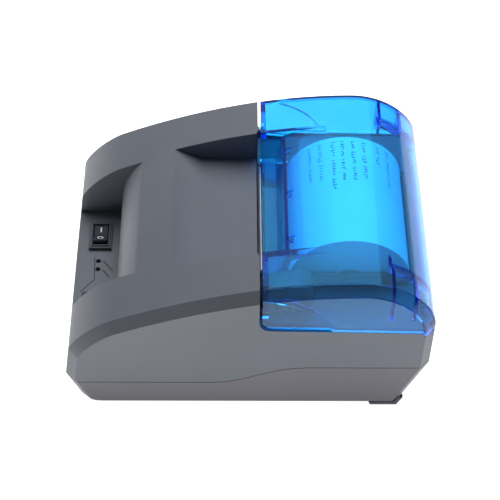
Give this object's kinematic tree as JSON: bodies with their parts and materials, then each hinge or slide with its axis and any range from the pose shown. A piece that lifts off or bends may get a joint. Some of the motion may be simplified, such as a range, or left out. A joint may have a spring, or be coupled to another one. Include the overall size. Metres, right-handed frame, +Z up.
{
  "type": "receipt printer",
  "caption": "Desktop thermal receipt printer with a grey case, a hinged translucent blue paper cover, front controls and an exit slot with a tear bar.",
  "frame": {"origin": "centre of the footprint at the bottom of the feet", "axes": "+Y towards the hinge at the rear, +Z up, +X towards the gear side"},
  "size_m": [0.112, 0.15, 0.0775],
  "materials": {
    "case_grey": "fine matte texture",
    "base_grey": "fine matte texture",
    "black_plastic": "satin",
    "dark_plastic": "satin",
    "cover_blue": "glossy translucent plastic",
    "paper": "smooth paper",
    "card": "cardboard",
    "rubber_black": "matte",
    "rubber_grey": "matte",
    "nylon": "satin",
    "board_green": "solder mask",
    "lens": "glossy",
    "flex": "glossy film",
    "ceramic": "glazed",
    "steel": "brushed",
    "aluminium": "satin"
  },
  "bodies": {
    "case": {"top_shell": "case_grey", "bottom_shell": "base_grey", "roll_bucket": "base_grey", "gear_post": "steel", "stepper_motor": "steel", "mechanism_frame": "steel", "head_pivot_pin": "steel", "head_spring_left": "steel", "head_spring_right": "steel", "head_flex": "flex", "tear_bar": "steel", "paper_sensor": "black_plastic", "paper_web": "paper", "hinge_pin_left": "steel", "hinge_pin_right": "steel", "main_board": "board_green", "board_screw_1": "steel", "board_screw_2": "steel", "board_screw_3": "steel", "board_screw_4": "steel", "head_connector": "nylon", "motor_connector": "nylon", "processor_chip": "black_plastic", "storage_capacitor": "dark_plastic", "buzzer": "black_plastic", "usb_port": "steel", "drawer_port": "black_plastic", "dc_jack": "black_plastic", "panel_board": "board_green", "tact_switch": "black_plastic", "power_light": "lens", "paper_light": "lens", "rocker_housing": "black_plastic", "rear_foot_left": "rubber_grey", "rear_foot_right": "rubber_grey", "front_foot_left": "rubber_black", "front_foot_right": "rubber_black", "case_screw_1": "steel", "case_screw_2": "steel", "case_screw_3": "steel", "case_screw_4": "steel"},
    "cover": {"paper_cover": "cover_blue", "platen_bracket": "dark_plastic", "platen_bush_left": "black_plastic", "platen_bush_right": "black_plastic"},
    "platen": {"platen_roller": "rubber_black", "platen_shaft": "steel", "platen_gear": "nylon"},
    "reduction": {"reduction_gear": "nylon"},
    "pinion": {"motor_pinion": "nylon"},
    "head": {"head_heatsink": "aluminium", "head_ceramic": "ceramic"},
    "roll": {"paper_roll": "paper", "roll_core": "card"},
    "rocker": {"rocker_cap": "black_plastic"},
    "feed": {"feed_button": "dark_plastic"}
  },
  "joints": [
    {"name": "cover_hinge", "type": "hinge", "parent": "case", "child": "cover", "pos_m": [0, 0.0723, 0.0515], "axis": [-1, 0, 0], "range_deg": [0, 85]},
    {"name": "platen_spin", "type": "hinge", "parent": "cover", "child": "platen", "pos_m": [0, 0.0108, 0.0505], "axis": [1, 0, 0], "continuous": true},
    {"name": "reduction_spin", "type": "hinge", "parent": "case", "child": "reduction", "pos_m": [0, 0.0108, 0.0393], "axis": [1, 0, 0], "continuous": true},
    {"name": "pinion_spin", "type": "hinge", "parent": "case", "child": "pinion", "pos_m": [0, 0.004, 0.02752], "axis": [1, 0, 0], "continuous": true},
    {"name": "roll_spin", "type": "hinge", "parent": "case", "child": "roll", "pos_m": [0, 0.0415, 0.05], "axis": [1, 0, 0], "continuous": true},
    {"name": "head_tilt", "type": "hinge", "parent": "case", "child": "head", "pos_m": [0, 0.00305, 0.044], "axis": [1, 0, 0], "range_deg": [0, 2.5], "stiffness_Nm_per_rad": 0.15, "springref_deg": -5.73},
    {"name": "rocker_turn", "type": "hinge", "parent": "case", "child": "rocker", "pos_m": [-0.0155, -0.064, 0.0266], "axis": [0, 1, 0], "range_deg": [0, 20]},
    {"name": "feed_press", "type": "slide", "parent": "case", "child": "feed", "axis": [0, 0, -1], "range_m": [0, 0.0008], "stiffness_N_per_m": 250, "springref_m": -0.0004}
  ],
  "couplings": [
    {"joint": "reduction_spin", "follows": "platen_spin", "ratio": -1.3333},
    {"joint": "pinion_spin", "follows": "platen_spin", "ratio": 3.2}
  ]
}
